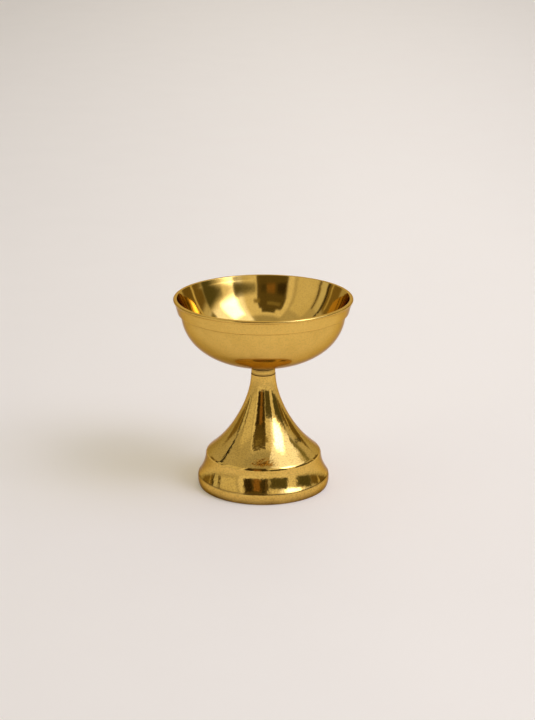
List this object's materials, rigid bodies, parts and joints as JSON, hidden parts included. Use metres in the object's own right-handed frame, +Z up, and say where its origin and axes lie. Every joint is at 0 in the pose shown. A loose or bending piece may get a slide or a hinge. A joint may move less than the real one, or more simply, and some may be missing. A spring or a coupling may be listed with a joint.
{
  "type": "butter lamp",
  "caption": "Turned brass butter lamp: open bowl with a banded rim, screwed by a stud and a neck collar on to a bell-shaped foot.",
  "frame": {"origin": "on the ground plane, under the centre of the foot", "axes": "+Z up along the axis that all pieces are turned about; +X to the right as the picture sees it, +Y away from the camera"},
  "size_m": [0.06, 0.06, 0.0656],
  "materials": {
    "cup_brass": "polished inside, fine turned satin outside",
    "stud_brass": "turned, with a cut thread",
    "collar_brass": "turned satin",
    "foot_brass": "polished, with fine turning lines"
  },
  "bodies": {
    "foot": {"foot": "foot_brass"},
    "collar": {"neck_collar": "collar_brass"},
    "cup": {"cup": "cup_brass", "screw_stud": "stud_brass"}
  },
  "joints": [
    {"name": "cup_turn", "type": "hinge", "parent": "foot", "child": "collar", "pos_m": [0, 0, 0.0392], "axis": [0, 0, 1], "range_deg": [0, 2880]},
    {"name": "cup_lift", "type": "slide", "parent": "collar", "child": "cup", "axis": [0, 0, 1], "range_m": [0, 0.00801]}
  ],
  "couplings": [
    {"joint": "cup_lift", "follows": "cup_turn", "m_per_rad": 0.00015915}
  ]
}
